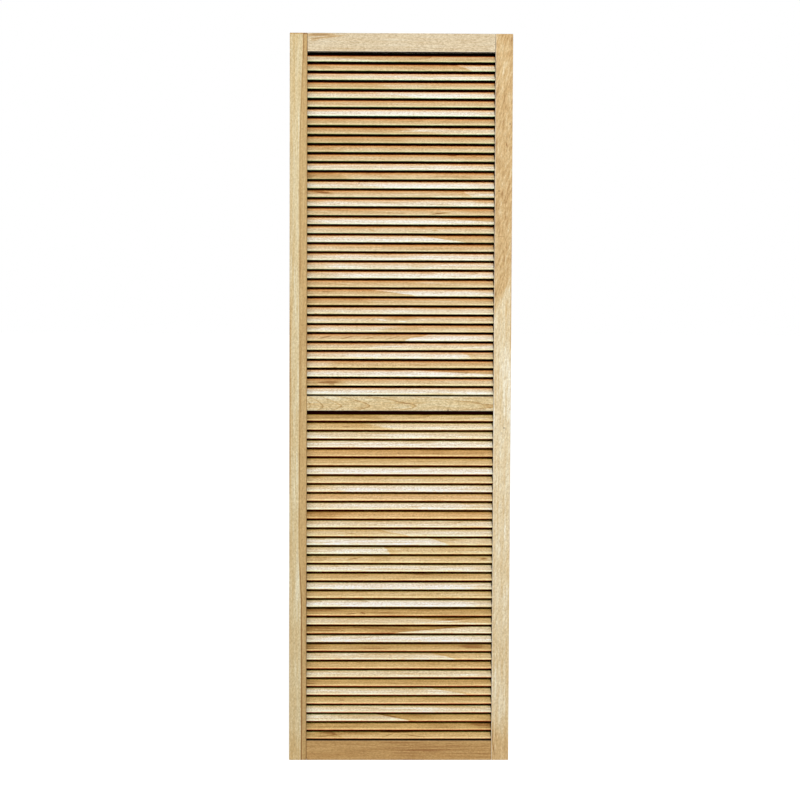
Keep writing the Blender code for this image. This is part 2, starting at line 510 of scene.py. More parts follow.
def makeStile(name, tree, material):
    node, side = stiles[name]
    edges = sorted((side * innerFace, side * sideFace))
    item = link(name, barMesh(name, (edges[0], -front, 0), (edges[1], front, leaf["height"]), "all"))
    reach = innerFace + tenon["length"] + leaf["fit"]
    for railName, rail in rails.items():
        mortise = tenonCorners(rail, leaf["fit"], reach)
        combine(item, railName + "Mortise", barMesh("mortise", *mortise, "none"), "DIFFERENCE")
    upper, lower = bankHeights(upperBank), bankHeights(lowerBank)
    grow(item, tree, {
        "Face": side * innerFace,
        "Depth": slats["housed"] + leaf["fit"],
        "Width": slats["width"] + 2 * leaf["fit"],
        "Thickness": slats["thickness"] + 2 * leaf["fit"],
        "Tilt": slats["tilt"],
        "Upper slats": upperBank["count"],
        "Upper height": upper[0],
        "Lower slats": lowerBank["count"],
        "Lower height": lower[0],
        "Pitch": upper[0] - upper[1],
        "Wood": material,
    })
    shadeRounds(item.data)
    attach(item, "root")
    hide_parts(node)
    print(name, "with its mortises and housings")


# Bare wood

wood = {
    "ramp": (  # from sapwood to heartwood, on the scale of toneOf
        (0.0, (0.90, 0.845, 0.715)),
        (0.10, (0.84, 0.745, 0.575)),
        (0.20, (0.775, 0.645, 0.435)),
        (0.42, (0.695, 0.515, 0.285)),
        (0.62, (0.635, 0.430, 0.210)),
        (0.86, (0.500, 0.310, 0.130)),
        (1.0, (0.330, 0.165, 0.060)),
    ),
    "darkening": (0.8, 1.0, 1.3),  # powers for red, green and blue: dark grain is browner than pale grain
    "ringEnd": 0.95,  # where in a ring its dark line starts to fade
    "pores": (0.12, 0.24),  # where a pattern starts to show as a mark, and where the mark is full
    "streaks": (0.13, 0.26),
    "flecks": (0.26, 0.32),
    "highlightColour": (0.90, 0.82, 0.68, 1),  # of the painted highlight on the frame's arrises beside the slats
    "dustColour": (0.014, 0.008, 0.004, 1),  # the painted shade on the frame's sides that the slats hide
    "roughness": 0.60,
    "roughening": {"fibre": 0.12, "late": -0.05, "pores": 0.08},  # what the patterns add to it
    "specular": 0.25,
    "relief": {"fibre": 0.5, "coarse": 0.4, "pores": -0.5, "late": 0.25},  # and to the bump's height
    "bump": {"Strength": 0.5, "Distance": 0.00025},
}

grainWaves = {  # of each pattern, waves in a metre along the grain and across it, detail and roughness
    "bend": (1.7, 10, 2.0, 0.5),
    "ripple": (14, 60, 2.0, 0.5),
    "fibre": (28, 1100, 3.0, 0.6),
    "coarse": (7, 190, 3.0, 0.6),
    "speckle": (130, 300, 2.0, 0.7),
    "grit": (330, 420, 1.0, 0.5),
    "pores": (240, 3200, 1.0, 0.5),
    "mottle": (9, 34, 3.0, 0.55),
    "streaks": (2.4, 85, 2.0, 0.5),
    "flecks": (34, 330, 1.0, 0.5),
}

knotLook = {
    "colour": (0.13, 0.065, 0.028, 1),
    "dark": 0.85,
    "core": 0.35,  # the part of its radius that is wholly dark
    "push": 1.6,  # how far it turns the rings aside, in its radii
    "reach": 5,  # and how far from its middle
}
wispLook = {"core": 0.15, "ragged": 1.2}

plainBoard = {
    "alongAxis": "x",  # of the grain
    "ringWidth": 0.0031,
    "rings": 0.15,  # how much darker the late wood of each ring is
    "ringTone": 0.10,  # how much browner it is
    "ringEdge": 3,  # a higher number makes its line thinner
    "waver": 0.016,  # how far the rings wander
    "ripple": 0.0011,  # and by how much they tremble
    "taper": 0.012,  # how much the trunk narrows in a metre
    "crowding": 50.0,  # a low number crowds the rings' tips at the left end
    "mottle": 0.42,
    "coarse": 0.8,
    "streaks": 0.2,
    "flecks": 0.22,
    "fibre": 0.28,
    "pores": 0.10,
    "speckle": 0.85,
    "grit": 0.50,  # contrast of the finest grain
    "tint": (1.0, 1.0, 1.0),  # on the whole board
    "arris": 0.35,  # how strong the painted highlight on its edges beside the slats is
    "dustOver": 0.0,  # how far the painted shade beside the slats comes over its edges
    "stain": 1.0,  # how strong its brown streaks are
    "knots": (),  # x, z and radius of each
    "wisps": (),  # x, z, half length, half height, slope and strength of each brown streak
}


def startMaterial(name):
    material = bpy.data.materials.new(name)
    return material, emptyGraph(material)


def oval(graph, x, z, mark):  # how far out from the middle of an oval mark, whose rim is at 1
    markX, markZ, length, height, slope = mark
    run, rise = x - markX, z - markZ
    flat = (run + rise * slope) / length
    steep = (rise - run * slope) / height
    return graph.length(graph.join(flat, steep, 0))


def knotsAndWisps(graph, x, z, ripple, look):  # their push on the rings, the knots' dark and the wisps' stain
    push, marks, stain = 0, 0, 0
    for knotX, knotZ, size in look["knots"]:  # a knot turns the rings round itself
        away = graph.length(graph.join(x - knotX, z - knotZ, 0))
        push = push + size * knotLook["push"] * graph.fade(away, 0, size * knotLook["reach"])
        marks = marks + graph.fade(away + ripple * size, size * knotLook["core"], size)
    for *place, strength in look["wisps"]:
        outward = oval(graph, x, z, place) + ripple * wispLook["ragged"]
        stain = stain + graph.fade(outward, wispLook["core"], 1) * strength * look["stain"]
    return push, marks, stain


def finishWood(graph, grain, face, tone, look, coat):
    along, across, deep = grain
    grainPlace = graph.join(along, across, deep)

    def pattern(name):
        wavesAlong, wavesAcross, detail, roughness = grainWaves[name]
        return graph.noise(grainPlace, (wavesAlong, wavesAcross, wavesAcross), detail, roughness)

    def peaks(name):
        return graph.smooth(pattern(name), *wood[name])

    ripple = pattern("ripple")
    push, marks, stain = knotsAndWisps(graph, *face, ripple, look)
    centre = graph.length(graph.join(0, across, deep))
    crowding = look["crowding"]
    narrow = graph.maths("LOGARITHM", along / crowding + 1, math.e) * crowding
    radius = centre + pattern("bend") * look["waver"] + ripple * look["ripple"]
    phase = graph.maths("FRACT", (radius + narrow * look["taper"] + push) / look["ringWidth"])
    late = phase ** look["ringEdge"] * graph.fade(phase, wood["ringEnd"], 1)
    parts = {"fibre": pattern("fibre"), "coarse": pattern("coarse"), "pores": peaks("pores"), "late": late}

    def total(shares):
        return sum(parts[name] * share for name, share in shares.items())

    depth = tone + pattern("mottle") * look["mottle"] + parts["coarse"] * look["coarse"]
    depth = depth + peaks("streaks") * look["streaks"] + peaks("flecks") * look["flecks"]
    colour = graph.ramp(wood["ramp"], depth + stain + late * look["ringTone"])
    light = 1 - look["rings"] * late - look["pores"] * parts["pores"] + look["fibre"] * parts["fibre"]
    light = light + look["speckle"] * pattern("speckle") + look["grit"] * pattern("grit")
    shading = graph.join(*[light ** power for power in wood["darkening"]])
    colour = graph.stretch(graph.stretch(colour, look["tint"]), shading)
    if look["knots"]:
        colour = graph.mix(graph.limit(marks * knotLook["dark"]), colour, knotLook["colour"])
    colour, dust = coat(colour)

    rough = total(wood["roughening"]) + wood["roughness"]
    bump = graph.add("ShaderNodeBump", {}, {**wood["bump"], "Height": total(wood["relief"])}, "Normal")
    # The painted shade gets a matt finish without gloss, so that it stays dark
    finishes = (
        {"Base Color": colour, "Roughness": rough, "Normal": bump, "Specular IOR Level": wood["specular"]},
        {"Base Color": colour, "Roughness": 1.0, "Specular IOR Level": 0.0},
    )
    sanded, paintedShadeFinish = [graph.add("ShaderNodeBsdfPrincipled", {}, finish) for finish in finishes]
    surface = graph.add("ShaderNodeMixShader", {}, {0: dust, 1: sanded, 2: paintedShadeFinish})
    graph.add("ShaderNodeOutputMaterial", {}, {"Surface": surface})


def leafPlace(graph):
    return graph.split(graph.add("ShaderNodeTexCoord", {}, {}, "Object"))


# Slats' wood

slatLook = {
    **plainBoard,
    "rings": 0.17,
    "coarse": 0.85,
    "speckle": 0.95,
    "grit": 0.85,
    "stain": 1.4,
    "apart": (9.0, 0.045, 0.03),  # how far from each other the slats lie in the grain
    "pith": 0.045,  # from a slat to the middle of the trunk
    "uneven": 0.05,  # how much their tones differ by chance
    "lineTop": 0.004,  # across a slat, where the line between its two tones meets its upper side
    "lineWaves": (6, 60, 60),
    "lineWander": 0.04,
    "lineBlur": 0.022,  # how soft that line is
    "crisp": 0.018,  # how much less where it is crisp
    "seam": 0.14,  # how much darker the wood is beside a crisp line
    "seamRise": (-0.003, 0.004),
    "seamFall": (0.004, 0.034),
    "ends": 0.55,  # how much of a pale slat's paleness its ends lose
    "endsFrom": 0.13,  # from the middle of its length
    "paleTone": 0.20,  # and the tone under which a slat is pale
}

# Painted light and shade on the slats: a painted highlight on the exposed edge, and painted shade where the
# next slat covers it. The places are across a slat, in metres from its middle line: below zero towards the
# edge that shows, above zero towards the part that the next slat covers.
slatCoat = {
    "flat": 0.0015,  # from the middle of the thickness to where a face begins
    "rounded": 0.016,  # from the middle line to the rounded edges
    "warm": (-0.009, 0.004),  # where the tinted painted shade and the painted glow of bankLook begin and where they are full
    "glow": (-0.003, 0.002),
    "light": 1.06,  # painted shading: the brightness a little below the middle line, rising towards the exposed edge and falling towards the covered part
    "lightFrom": 0.004,
    "lightLoss": 5,  # in a metre
    "rosy": (0.06, 0.0, 0.018),  # what the rosy slats gain in red, green and blue
    "blue": 1.05,  # before the yellow is taken from it
    "footEnd": 0.45,  # how high up a bank the lowest slats' yellow reaches
    "nose": (-0.0172, -0.0128),  # the exposed edge, with a painted highlight
    "noseGamma": 0.65,
    "tip": (0.0004, 0.0018),  # the very middle of its rounding
    "dark": 0.006,  # over how much of the width the painted shade comes in
    "dull": 0.97,  # how dark the painted shade on the part behind the next slat is
    "underRail": 0.0025,  # how much further the painted shade reaches on the first slat, under its rail
    "firstSlat": 0.0137,  # from its middle down to its lower end
}

# What differs between the banks. The last three change from a bank's foot, 0, to its head, 1.
bankLook = {
    "upperSlats": {
        "warmth": (0.0, 0.235, 0.51),  # what red, green and blue lose in the painted shade towards the covered part
        "glow": (0.15, 0.02, 0.0),  # what they gain in a painted glow just before it
        "yellow": 0.10,  # how much yellower the darker tones are
        "yellowFoot": 0.0,  # how much yellower the lowest slats are
        # the colour of the painted shade
        "dust": (0.008, 0.003, 0.001, 1),
        # Tint of the painted highlight on the exposed edge
        "nose": ((0.12, (1.10, 1.13, 0.92)), (0.45, (0.97, 1.01, 0.84))),
        # and the painted shade and coloured fringes on the very middle of its rounding
        "tip": ((0.12, (1.05, 1.05, 0.64)), (0.54, (0.12, 0.24, 0.10)), (0.88, (0.46, 0.86, 0.54))),
        "darkFrom": (  # across a slat, where the painted shade starts in red, green and blue
            (0.12, (0.0027, 0.0009, 0.0001)),
            (0.54, (0.0065, 0.0035, 0.0017)),
            (0.88, (0.0048, 0.0008, -0.0004)),
        ),
    },
    "lowerSlats": {
        "warmth": (0.03, 0.13, 0.35),
        "glow": (0.05, 0.05, 0.0),
        "yellow": 0.26,
        "yellowFoot": 0.05,
        # the colour of the painted shade, redder here
        "dust": (0.080, 0.004, 0.001, 1),
        "nose": ((0.12, (1.25, 1.17, 0.95)), (0.55, (1.24, 1.28, 1.06)), (0.85, (1.15, 1.18, 0.97))),
        "tip": ((0.12, (1.80, 0.40, 0.15)), (0.55, (2.20, 1.10, 0.50)), (0.85, (1.12, 0.60, 0.29))),
        "darkFrom": (
            (0.12, (0.0002, 0.0013, 0.0001)),
            (0.55, (0.0007, 0.0011, -0.0003)),
            (0.85, (0.0019, 0.0020, 0.0005)),
        ),
    },
}

# Marks by a slat's number, then x, and the height above the middle of the slat. A knot has its radius
# next, and a wisp its half length, half height, slope and strength, which is below zero for a pale one.
slatKnots = {
    "upperSlats": (
        (15, -0.1168, 0.002, 0.0024), (19, 0.178, -0.009, 0.0011), (21, 0.0917, -0.004, 0.0014),
        (35, -0.1017, -0.008, 0.0015), (38, -0.081, -0.005, 0.0013),
    ),
    "lowerSlats": (
        (1, -0.101, -0.004, 0.0022), (5, -0.004, -0.004, 0.002), (13, 0.0285, -0.013, 0.002),
        (28, 0.218, -0.003, 0.0013),
    ),
}

slatWisps = {
    "upperSlats": (
        (9, 0.0265, -0.004, 0.05, 0.003, 0.0, -0.3), (12, 0.2, 0.0, 0.09, 0.009, 0.0, 0.12),
        (12, 0.1453, 0.004, 0.018, 0.0018, 0.0, 0.8), (12, 0.204, 0.002, 0.011, 0.0015, 0.0, 0.5),
        (14, -0.059, 0.0045, 0.04, 0.002, 0.0, 0.3), (16, -0.2166, 0.0, 0.04, 0.004, -0.05, 0.5),
        (17, -0.25, 0.0, 0.06, 0.01, 0.0, 0.1), (17, 0.25, 0.0, 0.08, 0.01, 0.0, 0.12),
        (18, 0.1055, -0.007, 0.036, 0.0034, 0.1, 0.5),
        (20, -0.082, -0.004, 0.012, 0.002, -0.4, 0.3), (20, 0.06, 0.003, 0.022, 0.002, 0.0, 0.5),
        (20, 0.0956, -0.004, 0.011, 0.0028, 0.0, 0.38), (22, 0.065, -0.006, 0.05, 0.0018, 0.0, 0.28),
        (24, 0.048, -0.006, 0.032, 0.0011, -0.06, 0.35), (26, 0.1425, -0.003, 0.04, 0.0013, 0.0, 0.28),
        (26, 0.08, 0.0, 0.06, 0.006, 0.0, -0.12), (27, -0.205, 0.0, 0.03, 0.0016, 0.0, 0.3),
        (29, -0.237, -0.0113, 0.005, 0.0012, 0.0, 0.8), (30, 0.0, 0.001, 0.05, 0.009, 0.0, 0.22),
        (30, -0.053, -0.004, 0.03, 0.003, -0.12, -0.3), (30, 0.007, -0.008, 0.02, 0.002, 0.0, -0.3),
        (30, -0.125, -0.01, 0.014, 0.0013, 0.1, 0.65), (30, 0.0423, 0.001, 0.02, 0.0012, -0.25, 0.4),
        (32, -0.211, -0.003, 0.03, 0.0014, 0.22, 0.5), (32, -0.15, -0.004, 0.03, 0.0014, 0.22, 0.45),
        (32, -0.085, -0.004, 0.03, 0.0013, 0.22, 0.4), (32, -0.02, -0.004, 0.03, 0.0013, 0.22, 0.4),
        (34, -0.226, -0.001, 0.007, 0.0011, 0.0, 0.5), (35, -0.1826, -0.0115, 0.006, 0.0014, 0.0, 0.9),
        (35, 0.204, -0.002, 0.006, 0.003, 0.0, 0.3), (37, -0.2, -0.003, 0.045, 0.0045, 0.0, 0.25),
        (37, -0.1925, -0.009, 0.009, 0.002, 0.0, 1.0),
    ),
    "lowerSlats": (
        (1, 0.215, -0.006, 0.06, 0.0035, 0.05, -0.25), (2, -0.1527, -0.005, 0.014, 0.0012, 0.0, 0.6),
        (8, -0.234, 0.003, 0.022, 0.0025, 0.0, 0.3), (8, 0.1343, -0.002, 0.04, 0.0011, 0.0, 0.35),
        (11, 0.036, -0.004, 0.04, 0.0011, -0.05, 0.45), (11, 0.19, 0.003, 0.03, 0.0016, 0.0, 0.3),
        (13, 0.165, 0.0, 0.03, 0.0013, 0.25, 0.35), (14, -0.165, -0.01, 0.02, 0.002, -0.08, -0.3),
        (14, -0.145, -0.004, 0.036, 0.0011, -0.18, 0.4), (16, -0.026, -0.004, 0.01, 0.001, -1.4, 0.35),
        (16, 0.023, -0.004, 0.011, 0.001, -1.2, 0.4), (16, 0.062, -0.005, 0.012, 0.001, -1.0, 0.4),
        (16, 0.095, -0.005, 0.012, 0.001, -0.9, 0.35), (17, -0.128, -0.002, 0.022, 0.0022, 0.12, 0.4),
        (17, 0.238, -0.002, 0.017, 0.004, 0.0, 0.4), (19, 0.065, 0.003, 0.05, 0.0018, 0.0, 0.3),
        (23, -0.1017, -0.006, 0.009, 0.0028, -0.3, 0.35), (23, -0.137, -0.008, 0.02, 0.0016, 0.08, 0.3),
        (24, 0.133, -0.005, 0.12, 0.0013, 0.05, -0.45), (24, 0.17, 0.001, 0.09, 0.002, 0.05, 0.32),
        (25, -0.0465, -0.012, 0.006, 0.0016, 0.0, 0.9), (25, -0.161, -0.005, 0.011, 0.0011, -0.35, 0.4),
        (27, 0.21, -0.001, 0.07, 0.009, 0.0, 0.24), (31, 0.161, 0.0, 0.007, 0.0015, 0.0, 0.4),
        (33, -0.161, -0.004, 0.013, 0.0016, 0.0, 0.6), (35, -0.012, -0.003, 0.052, 0.0016, -0.17, 0.55),
        (36, 0.24, 0.0, 0.05, 0.01, 0.0, 0.2),
        (37, -0.15, 0.0, 0.13, 0.013, 0.0, 0.09), (37, -0.235, 0.004, 0.034, 0.0034, 0.08, -0.4),
        (37, -0.19, -0.004, 0.048, 0.0014, 0.1, 0.5), (37, -0.01, 0.004, 0.06, 0.0026, 0.0, 0.6),
        (37, -0.03, -0.004, 0.022, 0.0012, 0.25, 0.45), (37, 0.04, -0.005, 0.034, 0.0012, -0.1, 0.4),
    ),
}


def onSlats(bank, marks):  # marks by slat number become marks by x and z
    heights = bankHeights(bank)
    return [(x, heights[number - 1] + rise, *rest) for number, x, rise, *rest in marks]


def attribute(graph, label, output="Fac"):
    return graph.add("ShaderNodeAttribute", {"attribute_name": label}, {}, output)


def slatTone(graph, along, across, wander, chance):
    look = slatLook
    labels = ("leftTone", "rightTone", "changeAbove", "changeBelow", "crisp")
    left, right, above, below, crisp = [attribute(graph, label) for label in labels]
    edge = -slats["width"] / 2
    rise = (across - edge) / (look["lineTop"] - edge)
    line = along - below - rise * (above - below) + wander * look["lineWander"]
    blur = look["lineBlur"] - crisp * look["crisp"]
    change = right - left
    tone = left + change * graph.smooth(line / blur, -1, 1) + chance * look["uneven"]
    sense = graph.maths("SIGN", change)
    seam = graph.between(line * sense, look["seamRise"], look["seamFall"])  # in the darker of the two tones
    tone = tone + seam * sense * sense * crisp * look["seam"]
    ends = graph.smooth(graph.distance(along), look["endsFrom"], slats["length"] / 2)
    return tone + ends * graph.limit(look["paleTone"] - tone) * look["ends"]


def coatSlats(graph, name, bank, across, deep, z, tone):  # a function that paints a highlight on the exposed edge and shade where the next slat covers, and tints by tone
    look, shades = slatCoat, bankLook[name]
    heights = bankHeights(bank)
    height = (z - heights[-1]) / (heights[0] - heights[-1])
    first = z > heights[0] - look["firstSlat"]
    rim = graph.distance(across) > look["rounded"]
    cover = across * graph.limit(deep / look["flat"], -1)  # on either face, from the edge that shows

    def shade(label):
        return graph.ramp(shades[label], height)

    def coat(colour):
        # Painted shade, tinted towards red, over the covered part, and a painted glow at its edge
        warm = graph.smooth(cover, *look["warm"]) * (1 - rim)
        glow = graph.smooth(cover, *look["glow"])
        # Painted shading: brighter towards the exposed edge, darker towards the covered part
        light = look["light"] - (cover + look["lightFrom"]) * look["lightLoss"]
        tint = [light - warm * loss + glow * gain for loss, gain in zip(shades["warmth"], shades["glow"])]
        foot = graph.fade(height, 0, look["footEnd"])
        tint[2] = tint[2] * (look["blue"] - tone * shades["yellow"] - foot * shades["yellowFoot"])
        rosy = attribute(graph, "rosy")
        tint = [share * (1 + rosy * gain) for share, gain in zip(tint, look["rosy"])]
        colour = graph.stretch(colour, graph.join(*tint))
        # Painted highlight: the exposed edge is brightened
        highlit = graph.add("ShaderNodeGamma", {}, {"Color": colour, "Gamma": look["noseGamma"]})
        nose = graph.fade(cover, *look["nose"])
        colour = graph.mix(nose, colour, graph.stretch(highlit, shade("nose")))
        # Painted shade and coloured fringes on the middle of the rounded edge
        tip = rim * graph.fade(graph.distance(deep), *look["tip"])
        colour = graph.mix(tip, colour, graph.stretch(colour, shade("tip")))
        # Painted shade: near black where the next slat, or the rail above the first slat, covers this one
        shaded = cover + look["underRail"] * first
        starts = graph.split(shade("darkFrom"))
        unshaded = [1 - graph.smooth(shaded, start, start + look["dark"]) * look["dull"] for start in starts]
        colour = graph.vectorMaths("MINIMUM", graph.stretch(colour, graph.join(*unshaded)), (1, 1, 1))
        return graph.mix(1 - unshaded[1], colour, shades["dust"]), 1 - unshaded[2]

    return coat


def slatWood(name, bank):  # each slat has its own place in the grain, and its own tones
    material, graph = startMaterial(name)
    along, across, deep = graph.split(attribute(graph, "slatPlace", "Vector"))
    first, second, third = graph.split(attribute(graph, "slatDraw", "Vector"))
    farAlong, farAcross, farDeep = slatLook["apart"]
    shifted = along + first * farAlong
    grain = (shifted, across + second * farAcross, deep + slatLook["pith"] + third * farDeep)
    wander = graph.noise(graph.join(shifted, across, deep), slatLook["lineWaves"])
    tone = slatTone(graph, along, across, wander, third)
    x, _, z = leafPlace(graph)
    coat = coatSlats(graph, name, bank, across, deep, z, tone)
    look = {**slatLook, "knots": onSlats(bank, slatKnots[name]), "wisps": onSlats(bank, slatWisps[name])}
    finishWood(graph, grain, (x, z), tone, look, coat)
    return material


# The frame's wood

recess = {  # painted shade on the sides that the slats hide, and a painted highlight on the arrises beside them
    "dull": 0.985,
    "rounding": 0.0007,  # how far behind the front face the dark is full
    "overEdge": (0.0006, 0.0018),  # how far over the arris it reaches
    "fade": (0.003, 0.015),  # how far behind the middle it goes, so that the back shows plain wood
    "arris": (0.0016, 0.0034),  # how far the painted highlight on the arris reaches over the face
    "arrisDeep": (0.0004, 0.0014),  # and into the recess
}


def frameWood(name, look, toneRule, edges):
    material, graph = startMaterial(name)
    x, y, z = leafPlace(graph)
    if look["alongAxis"] == "x":
        along, across = x, z
    else:
        along, across = z, x
    pith = look["pith"]
    grain = (along, across - pith[0], y - pith[1])
    toEdge = edges(graph, x, z)  # from an arris beside the slats into the board's face
    inside = y + front  # how far in from the front face

    def coat(colour):
        over = look["dustOver"]
        near, far = [reach + over for reach in recess["overEdge"]]
        # Painted shade, near black and matt, on the sides that the slats hide and over the arris beside them
        hidden = graph.smooth(inside + over, 0, recess["rounding"]) * graph.fade(toEdge, near, far)
        hidden = hidden * graph.fade(y, *recess["fade"])
        # A painted highlight on the arris beside the slats
        arris = graph.fade(toEdge, *recess["arris"]) * graph.fade(inside, *recess["arrisDeep"])
        colour = graph.mix(arris * look["arris"], colour, wood["highlightColour"])
        return graph.mix(hidden * recess["dull"], colour, wood["dustColour"]), hidden

    finishWood(graph, grain, (x, z), toneRule(graph, look, x, z), look, coat)
    return material


def stileEdges(graph, x, z):
    return graph.distance(x) - innerFace


def railEdges(rail):
    low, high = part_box(rail["node"])
    ends = [height for height in (low.z, high.z) if leaf["arris"] < height < leaf["height"] - leaf["arris"]]

    def away(graph, x, z):
        distances = [graph.distance(z - end) for end in ends]
        return distances[0] if len(ends) == 1 else graph.maths("MINIMUM", *distances)

    return away


# Three numbers in brackets are a tone here, and the two places that it comes or goes between.
leftLook = {
    **plainBoard,
    "alongAxis": "z",
    "pith": (0.02, 0.01),
    "coarse": 0.7,
    "mottle": 0.30,
    "waver": 0.010,
    "tint": (0.90, 0.885, 0.76),
    "arris": 0.0,
    "head": (1.72, 2.04),
    "foot": (0.42, 0.60),
    "line": 0.2825,  # where the sapwood ends, from the middle of the leaf
    "lineHead": 0.009,  # how much further out at the head
    "lineFoot": 0.006,
    "lineWaves": 2.2,
    "lineWander": 0.004,
    "lineBlur": 0.0012,
    "sapwood": 0.28,
    "heart": 0.40,  # how much darker the heartwood is
    "heartHead": 0.09,
    "heartFoot": 0.08,
    "paler": (0.12, -0.026, -0.004),  # towards the line
    "seam": 0.26,  # the brown line itself
    "seamFoot": 0.20,
    "seamPlace": 0.001,
    "seamWidth": (0.0006, 0.0030),
    "edge": (0.40, -0.3075, -0.304),  # the outer edge, browner between some heights
    "edgeRise": (0.70, 0.85),
    "edgeFall": (1.2, 1.35),
    "lip": (0.25, -0.2650, -0.2618),  # the edge beside the slats
    "crown": (0.45, 2.0350, 2.0385),
    "toe": (0.12, 0.02, 0.12),
}

rightLook = {
    **plainBoard,
    "alongAxis": "z",
    "pith": (0.0, 0.0),
    "rings": 0.16,
    "waver": 0.026,
    "tint": (1.005, 1.005, 0.955),
    "line": 1.31,  # height of the change
    "lineMiddle": 0.285,
    "lineSlope": 2.4,
    "lineWaves": (5, 40, 1),
    "lineWander": 0.08,
    "lineBlur": 0.016,
    "below": 0.18,
    "above": 0.41,  # how much darker the wood is above the change
    "foot": (0.06, 0.2, 1.0),
    "figureSlope": (0.8, -0.30),
    "figureWaves": (24, 150, 1),
    "figure": 0.45,
    "figureAbove": 1.1,
    "edge": (0.45, 0.3060, 0.3085),
    "edgeRise": (1.14, 1.18),
    "edgeFall": (1.33, 1.37),
    "toe": (0.26, 0.02, 0.12),
    "knots": (
        (0.3027, 1.7910, 0.0022), (0.2945, 1.752, 0.0014), (0.2733, 1.6050, 0.0024), (0.2917, 0.9425, 0.0020),
        (0.2875, 0.5330, 0.0016),
    ),
    "wisps": (
        (0.2750, 0.066, 0.0022, 0.036, 0.06, 0.4), (0.2650, 0.075, 0.0020, 0.060, -0.02, 0.55),
        (0.2690, 0.030, 0.0018, 0.030, 0.10, 0.45), (0.2933, 1.530, 0.0018, 0.010, 0.1, 0.7),
        (0.2940, 1.733, 0.0030, 0.012, 0.2, 0.5), (0.2900, 1.843, 0.0040, 0.020, 0.2, 0.3),
        (0.2850, 1.478, 0.0200, 0.0014, 0.0, 0.35),
    ),
}

topLook = {
    **plainBoard,
    "dustOver": 0.0003,
    "pith": (1.93, 0.06),
    "tone": 0.22,
    "rings": 0.07,
    "mottle": 0.24,
    "coarse": 0.36,
    "speckle": 1.15,
    "tint": (0.87, 0.87, 0.87),
    "knots": ((-0.0156, 2.0345, 0.0020),),
    "wisps": (
        (-0.225, 2.0350, 0.055, 0.0055, 0.04, 0.60), (-0.200, 2.0290, 0.060, 0.0030, 0.10, 0.45),
        (-0.240, 2.0220, 0.018, 0.0060, 0.30, 0.25),
    ),
}

midLook = {
    **plainBoard,
    "dustOver": 0.0012,
    "pith": (1.004, 0.0003),
    "tone": 0.26,
    "ringWidth": 0.0115,
    "rings": 0.28,
    "grit": 0.85,
    "ringTone": 1.50,
    "ringEdge": 22,
    "ripple": 0.0045,
    "taper": 0.085,
    "crowding": 0.3163,
    "coarse": 0.9,
    "mottle": 0.55,
    "speckle": 1.3,
    "tint": (0.90, 0.875, 0.745),
    "arris": 0.60,
    "knots": ((0.1343, 0.9915, 0.0032),),
}

bottomLook = {
    **plainBoard,
    "dustOver": 0.0012,
    "pith": (0.0, 0.05),
    "tone": 0.84,
    "rings": 0.05,
    "ringTone": 0.05,
    "mottle": 0.20,
    "coarse": 0.50,
    "streaks": 0.16,
    "speckle": 0.95,
    "tint": (0.97, 0.93, 0.79),
}


def rising(graph, value, rule):
    tone, low, high = rule
    return graph.smooth(value, low, high) * tone


def falling(graph, value, rule):
    tone, low, high = rule
    return graph.fade(value, low, high) * tone


def leftTone(graph, look, x, z):  # pale sapwood outside, golden heartwood inside, a brown line between them
    wander = graph.noise(graph.join(z, 0, 0), (look["lineWaves"], 1, 1))
    head, foot = graph.smooth(z, *look["head"]), graph.fade(z, *look["foot"])
    line = x + look["line"] + wander * look["lineWander"] - head * look["lineHead"] - foot * look["lineFoot"]
    heart = look["heart"] + head * look["heartHead"] + foot * look["heartFoot"]
    seam = graph.fade(graph.distance(line - look["seamPlace"]), *look["seamWidth"])
    edge = falling(graph, x, look["edge"]) * graph.between(z, look["edgeRise"], look["edgeFall"])
    tone = look["sapwood"] - rising(graph, line, look["paler"])
    tone = tone + graph.smooth(line, -look["lineBlur"], look["lineBlur"]) * heart
    tone = tone + seam * (look["seam"] + foot * look["seamFoot"]) + edge + rising(graph, x, look["lip"])
    return tone + rising(graph, z, look["crown"]) + falling(graph, z, look["toe"])


def rightTone(graph, look, x, z):  # golden and wavy above, pale below, with a slanting change
    wander = graph.noise(graph.join(z, x, 0), look["lineWaves"])
    line = z - look["line"] - (x - look["lineMiddle"]) * look["lineSlope"] + wander * look["lineWander"]
    above = graph.smooth(line, -look["lineBlur"], look["lineBlur"])
    upward, sideways = look["figureSlope"]
    slanted = graph.join(z + x * upward, x + z * sideways, 0)
    figure = graph.noise(slanted, look["figureWaves"], detail=3.0, roughness=0.6)
    edge = rising(graph, x, look["edge"]) * graph.between(z, look["edgeRise"], look["edgeFall"])
    tone = look["below"] + above * look["above"] + figure * (look["figure"] + above * look["figureAbove"])
    return tone + edge + falling(graph, z, look["foot"]) + falling(graph, z, look["toe"])


def evenTone(graph, look, x, z):
    return look["tone"]


woods = {
    "upperSlats": slatWood("upperSlats", upperBank),
    "lowerSlats": slatWood("lowerSlats", lowerBank),
    "leftStile": frameWood("leftStile", leftLook, leftTone, stileEdges),
    "rightStile": frameWood("rightStile", rightLook, rightTone, stileEdges),
}
for railName, look in (("topRail", topLook), ("midRail", midLook), ("bottomRail", bottomLook)):
    woods[railName] = frameWood(railName, look, evenTone, railEdges(rails[railName]))
print("woods mixed")

bankTree = slatTree()
makeSlats("upperSlats", upperBank, bankTree, woods["upperSlats"])
makeSlats("lowerSlats", lowerBank, bankTree, woods["lowerSlats"])
for railName, rail in rails.items():
    makeRail(railName, rail, woods[railName])
cutTree = housingTree()
for stileName in stiles:
    makeStile(stileName, cutTree, woods[stileName])


# Floor, light and camera

